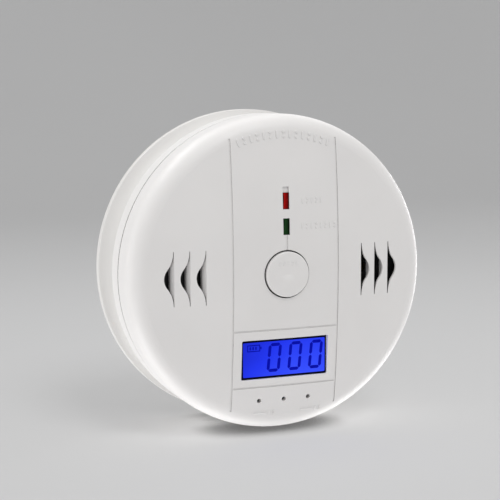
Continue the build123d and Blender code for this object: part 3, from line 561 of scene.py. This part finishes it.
def bottom_signs():
    """A dash and two signs, twice, under the small holes."""
    outlines = []
    row_z = -44.0 * MM
    dash_length = 4.0 * MM
    dash_width = 0.55 * MM
    signs_after = 5.2 * MM
    for start_x in (-10.2 * MM, 5.8 * MM):
        outlines.append(dash(start_x + dash_length / 2, row_z, dash_length, dash_width))
        outlines += sign_row(start_x + signs_after, row_z, count=2, pitch=1.5 * MM, size=1.6 * MM)
    return outlines


def lamp_row(low, high, gap, count):
    """A row of signs to the right of a lamp whose corners are low and high."""
    return sign_row(high.x + gap, (low.z + high.z) / 2, count, pitch=1.6 * MM, size=2.0 * MM)


def face_marks(material):
    """Plain raised signs where such a face carries lettering: an arc at the top, two short rows beside
    the lamps, and dashes with signs at the bottom."""
    face = Surface("front_cover")
    red_low, red_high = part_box("red_alarm_led")
    green_low, green_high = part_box("green_power_led")

    bold = sign_arc() + bottom_signs()
    piece = raised_shapes("face_marks", bold, face.front, BOLD_HEIGHT, MARK_SINK, BOLD_EDGE)
    faint = lamp_row(red_low, red_high, gap=4.6 * MM, count=5)
    faint += lamp_row(green_low, green_high, gap=4.4 * MM, count=8)
    labels = raised_shapes("lamp_labels", faint, face.front, FAINT_HEIGHT, MARK_SINK, FAINT_EDGE)
    for raised in (piece, labels):
        raised.data.materials.append(material)
        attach(raised, HEAD)


def button_marks(material):
    """A short row of signs on the upper half of the test button."""
    low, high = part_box("test_button")
    centre_x = (low.x + high.x) / 2
    above_middle = 3.5 * MM
    row_z = (low.z + high.z) / 2 + above_middle
    count = 5
    pitch = 1.4 * MM
    size = 1.5 * MM
    first_x = centre_x - (count - 1) / 2 * pitch
    cap = Surface("test_button")
    signs = sign_row(first_x, row_z, count, pitch, size)
    piece = raised_shapes("button_marks", signs, cap.front, BUTTON_MARK_HEIGHT, MARK_SINK, BUTTON_MARK_EDGE)
    piece.data.materials.append(material)
    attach(piece, BUTTON)


# ---------------------------------------------------------------- display

DIGIT_COUNT = 3
DIGIT_PITCH = 7.1 * MM
DIGIT_WIDTH = 4.5 * MM
DIGIT_HEIGHT = 9.2 * MM
DIGITS_RIGHT = 3.85 * MM         # how far right of the glass's middle the digits stand, and how far above it
DIGITS_UP = 0.15 * MM
STROKE = 1.0 * MM
SEGMENT_GAP = 0.18 * MM
SLANT = 0.1                      # how far a digit leans to the right, as a share of its height
BATTERY_FROM_LEFT = 5.0 * MM     # the battery sign's middle, from the glass's edges
BATTERY_FROM_TOP = 3.2 * MM
INK_HEIGHT = 0.04 * MM
INK_EDGE = 0.02 * MM


def sheared(points, middle_z):
    """Leans an outline to the right."""
    return [(x + (z - middle_z) * SLANT, z) for x, z in points]


def segment(x, z, length, upright):
    """One bar of a seven-segment digit, with pointed ends."""
    half = length / 2
    tip = STROKE / 2
    shoulder = half - tip
    flat = [(-half, 0), (-shoulder, -tip), (shoulder, -tip), (half, 0), (shoulder, tip), (-shoulder, tip)]
    if upright:
        return [(x - pz, z + px) for px, pz in flat]
    return [(x + px, z + pz) for px, pz in flat]


def zero_digit(centre_x, centre_z):
    """The six lit segments of a nought."""
    half_width = (DIGIT_WIDTH - STROKE) / 2
    half_height = (DIGIT_HEIGHT - STROKE) / 2
    level_length = DIGIT_WIDTH - STROKE - SEGMENT_GAP
    upright_length = half_height - SEGMENT_GAP
    bars = [segment(centre_x, centre_z + end * half_height, level_length, False) for end in (1, -1)]
    for side in (-1, 1):
        for end in (-1, 1):
            x = centre_x + side * half_width
            z = centre_z + end * half_height / 2
            bars.append(segment(x, z, upright_length, True))
    return [sheared(bar, centre_z) for bar in bars]


def display_pieces():
    """The dark digits, a battery sign and the dark border of the display."""
    low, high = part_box("lcd_glass")
    glass_front = low.y
    centre_x = (low.x + high.x) / 2
    centre_z = (low.z + high.z) / 2

    def on_glass(x, z):
        """The glass is flat, so its front is the same everywhere."""
        return glass_front

    digits = []
    for index in range(DIGIT_COUNT):
        digit_x = centre_x + DIGITS_RIGHT + (index - (DIGIT_COUNT - 1) / 2) * DIGIT_PITCH
        digits += zero_digit(digit_x, centre_z + DIGITS_UP)
    digits += battery_sign(low.x + BATTERY_FROM_LEFT, high.z - BATTERY_FROM_TOP)
    ink = display_ink("display_ink", DIGIT_INK, DIGIT_GLOW)
    piece = raised_shapes("display_digits", digits, on_glass, INK_HEIGHT, INK_EDGE, INK_EDGE)
    piece.data.materials.append(ink)
    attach(piece, HEAD)

    border = border_frame("display_border", low, high, glass_front)
    border.data.materials.append(display_ink("border_ink", BORDER_INK, BORDER_GLOW))
    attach(border, HEAD)


def battery_sign(x, z):
    """A small battery outline with its nub on the right and three charge bars inside."""
    width = 4.4 * MM
    height = 2.2 * MM
    line = 0.32 * MM
    nub_gap = 0.25 * MM
    nub_height = 0.9 * MM
    nub_width = 0.36 * MM
    bar_pitch = 0.95 * MM
    bar_height = 1.1 * MM
    bar_width = 0.5 * MM
    upright = radians(90)
    shapes = [dash(x, z + end * (height - line) / 2, width, line) for end in (-1, 1)]
    shapes += [dash(x + side * (width - line) / 2, z, height, line, upright) for side in (-1, 1)]
    shapes.append(dash(x + width / 2 + nub_gap, z, nub_height, nub_width, upright))
    for pitches_right in (-1.2, -0.2, 0.8):
        shapes.append(dash(x + pitches_right * bar_pitch, z, bar_height, bar_width, upright))
    return shapes


def rounded_rectangle(centre_x, centre_z, half_x, half_z, radius):
    """A counter-clockwise outline with rounded corners."""
    points = []
    for corner, (side, end) in enumerate(((1, 1), (-1, 1), (-1, -1), (1, -1))):
        for step in range(ROUND_STEPS + 1):
            angle = corner * pi / 2 + pi / 2 * step / ROUND_STEPS
            x = centre_x + side * (half_x - radius) + radius * cos(angle)
            z = centre_z + end * (half_z - radius) + radius * sin(angle)
            points.append((x, z))
    return points


def border_frame(name, low, high, front):
    """The printed dark frame on the display glass; it is wider on the left and at the top."""
    left = 1.3 * MM
    right = 0.95 * MM
    top = 1.25 * MM
    bottom = 0.95 * MM
    thickness = 0.03 * MM
    margin = 0.1 * MM
    outer_radius = 0.3 * MM
    inner_radius = 0.35 * MM
    outer_half = Vector(((high.x - low.x) / 2 - margin, (high.z - low.z) / 2 - margin))
    inner_half = outer_half - Vector(((left + right) / 2, (top + bottom) / 2))
    centre = Vector(((low.x + high.x) / 2, (low.z + high.z) / 2))
    inner_centre = centre + Vector(((left - right) / 2, (bottom - top) / 2))
    outer = rounded_rectangle(*centre, *outer_half, outer_radius)
    inner = rounded_rectangle(*inner_centre, *inner_half, inner_radius)
    raised = front - thickness
    mesh = bmesh.new()
    rings = []
    for points, y in ((outer, front), (outer, raised), (inner, raised), (inner, front)):
        rings.append([mesh.verts.new((x, y, z)) for x, z in points])
    rings.append(rings[0])
    bridge(mesh, rings)
    bmesh.ops.recalc_face_normals(mesh, faces=mesh.faces)
    return to_object(name, mesh)


# ---------------------------------------------------------------- floor, lights and camera

FLOOR_GAP = 0.05 * MM            # the floor lies this far below the plate's rim
FLOOR_FRONT = -3.0               # Y of the floor's front edge, and of the upright part behind
BACKDROP = 1.6
SWEEP_HALF_WIDTH = 4.0
SWEEP_TOP = 3.0
SWEEP_BEND = 0.9
SWEEP_STEPS = 24
# the paper's colour near the object and at the backdrop; the darker far colour is painted shade
NEAR_PAPER = (0.607, 0.607, 0.609)
FAR_PAPER = (0.535, 0.535, 0.537)
PAINTED_FALLOFF_FROM = 0.2         # Y from which painted shade darkens the paper towards the backdrop
CONTACT_SHADOW_REACH = 9 * MM           # how far around the object the painted contact shadow reaches, and how dark it gets
CONTACT_SHADOW_TONE = 0.25


def paper_material():
    """Matt paper, a little uneven, with painted shade that darkens it towards the back and a painted contact
    shadow where the object meets it.
    """
    m = Nodes("studio_paper")
    uneven = m.varied(m.noise(0.4), -0.06, 0.06)
    # painted shade: the paper gets darker further back
    away = m.combine("ADD", uneven, m.scaled(m.axis("Y"), 0.0, 1.0, PAINTED_FALLOFF_FROM, BACKDROP))
    tone = m.ramp(away, (0.0, NEAR_PAPER), (1.0, FAR_PAPER))
    # a painted contact shadow on the paper where the object meets it
    m.link(m.painted_gap_shade(CONTACT_SHADOW_REACH, CONTACT_SHADOW_TONE, tone, CONTACT_SHADOW_GAPS), m.shader.inputs["Base Color"])
    m.link(m.scaled(m.noise(10 * MM, detail=3.0), 0.85, 0.95), m.shader.inputs["Roughness"])
    m.fix(Specular_IOR_Level=0.2)
    return m.material


def studio_sweep():
    """A pale floor that curves up into a backdrop."""
    lowest_corner = cad_box[0]
    floor_z = lowest_corner[2] - FLOOR_GAP
    bend_y = BACKDROP - SWEEP_BEND
    profile = [(FLOOR_FRONT, floor_z), (bend_y, floor_z)]
    for step in range(1, SWEEP_STEPS + 1):
        angle = pi / 2 * step / SWEEP_STEPS
        profile.append((bend_y + SWEEP_BEND * sin(angle), floor_z + SWEEP_BEND * (1 - cos(angle))))
    profile.append((BACKDROP, SWEEP_TOP))
    mesh = bmesh.new()
    rows = []
    for y, z in profile:
        rows.append([mesh.verts.new((x, y, z)) for x in (-SWEEP_HALF_WIDTH, SWEEP_HALF_WIDTH)])
    for near, far in zip(rows, rows[1:]):
        mesh.faces.new((near[0], near[1], far[1], far[0]))
    sweep = to_object("studio_sweep", mesh)
    sweep.data.shade_smooth()
    sweep.data.materials.append(paper_material())
    return sweep


# name: (place, what it points at, size in metres, power in watts)
# Room lights shine on everything, the others only on the floor or only on the object.
ROOM_LIGHTS = {
    "key_softbox": ((0.1, -0.68, 0.88), (0, 0, 0), (0.4, 0.4), 2.2),
}
FLOOR_LIGHTS = {
    "floor_pool": ((0.03, 0.05, 0.45), (0.03, 0.05, 0), (0.2, 0.2), 0.5),
}
OBJECT_LIGHTS = {
    "top_strip": ((-0.2, 0.12, 0.35), (0, 0, 0), (0.3, 0.1), 0.5),
}
# name: (degrees around the object seen from the front, metres behind its back plane, power in watts)
RIM_LIGHTS = {
    "left_rim": (180, 0.1, 0.18),
    "lower_left_rim": (225, 0.0, 0.62),
    "lower_rim": (270, 0.03, 0.42),
    "lower_right_rim": (315, 0.05, 0.65),
    "right_rim": (0, 0.2, 0.5),
    "upper_right_rim": (45, 0.3, 0.2),
    "upper_rim": (90, 0.1, 0.17),
}
RIM_DISTANCE = 0.4
RIM_SIZE = 0.25
WORLD_BRIGHTNESS = 0.78


def area_light(name, place, aim, size, power):
    """A rectangular soft light that the camera doesn't see."""
    lamp = bpy.data.lights.new(name, "AREA")
    lamp.shape = "RECTANGLE"
    lamp.size, lamp.size_y = size
    lamp.energy = power
    holder = bpy.data.objects.new(name, lamp)
    holder.location = place
    holder.rotation_euler = (Vector(aim) - Vector(place)).to_track_quat("-Z", "Y").to_euler()
    holder.visible_camera = False
    bpy.context.scene.collection.objects.link(holder)
    return holder


def piece_collection(name, pieces):
    """A collection outside the scene that only says what a light reaches."""
    collection = bpy.data.collections.new(name)
    for piece in pieces:
        collection.objects.link(piece)
    return collection


def white_world():
    """Even white light from all around."""
    world = bpy.data.worlds.new("studio")
    world.use_nodes = True
    background = world.node_tree.nodes["Background"]
    background.inputs["Color"].default_value = (1.0, 1.0, 1.0, 1)
    background.inputs["Strength"].default_value = WORLD_BRIGHTNESS
    bpy.context.scene.world = world


def soft_lights(sweep):
    """All the lamps, each shining only on what its table says."""
    only_floor = piece_collection("only_floor", [sweep])
    meshes = [piece for piece in bpy.context.scene.objects if piece.type == "MESH" and piece != sweep]
    only_object = piece_collection("only_object", meshes)

    for name, settings in ROOM_LIGHTS.items():
        area_light(name, *settings)
    for name, settings in FLOOR_LIGHTS.items():
        light = area_light(name, *settings)
        light.light_linking.receiver_collection = only_floor
        light.light_linking.blocker_collection = only_floor
    lights = [area_light(name, *settings) for name, settings in OBJECT_LIGHTS.items()]
    for name, (angle, behind, power) in RIM_LIGHTS.items():
        turn = radians(angle)
        place = (RIM_DISTANCE * cos(turn), behind, RIM_DISTANCE * sin(turn))
        lights.append(area_light(name, place, (0, 0, 0), (RIM_SIZE, RIM_SIZE), power))
    for light in lights:
        light.light_linking.receiver_collection = only_object
        light.light_linking.blocker_collection = only_object


CAMERA_AZIMUTH = radians(21.4)      # the camera stands to the left of the face's normal
CAMERA_ELEVATION = radians(7.06)
CAMERA_ROLL = radians(-0.19)
CAMERA_DISTANCE = 0.4223
CAMERA_LENS = 89.6                  # focal length and sensor width in millimetres
CAMERA_SENSOR = 36.0
NEAR_CLIP = 10 * MM
AIM = Vector((2.39, 0.0, 3.56)) * MM


def photo_camera():
    """The camera, at the photograph's viewing angle."""
    data = bpy.data.cameras.new("camera")
    data.lens = CAMERA_LENS
    data.sensor_width = CAMERA_SENSOR
    data.clip_start = NEAR_CLIP
    camera = bpy.data.objects.new("camera", data)
    level = cos(CAMERA_ELEVATION)
    outward = Vector((-sin(CAMERA_AZIMUTH) * level, -cos(CAMERA_AZIMUTH) * level, sin(CAMERA_ELEVATION)))
    camera.location = AIM + outward * CAMERA_DISTANCE
    upright = (-outward).to_track_quat("-Z", "Y").to_matrix().to_4x4()
    camera.rotation_euler = (upright @ Matrix.Rotation(CAMERA_ROLL, 4, "Z")).to_euler()
    bpy.context.scene.collection.objects.link(camera)
    bpy.context.scene.camera = camera


# ---------------------------------------------------------------- put it together

photo_camera()
dress_plastics()
dress_metals()
dress_lamps_and_display()
dress_inside()
housing_material = bpy.data.materials["housing_plastic"]
face_marks(housing_material)
button_marks(housing_material)
display_pieces()
floor_and_backdrop = studio_sweep()
soft_lights(floor_and_backdrop)
white_world()
bpy.context.scene.view_settings.view_transform = "Standard"
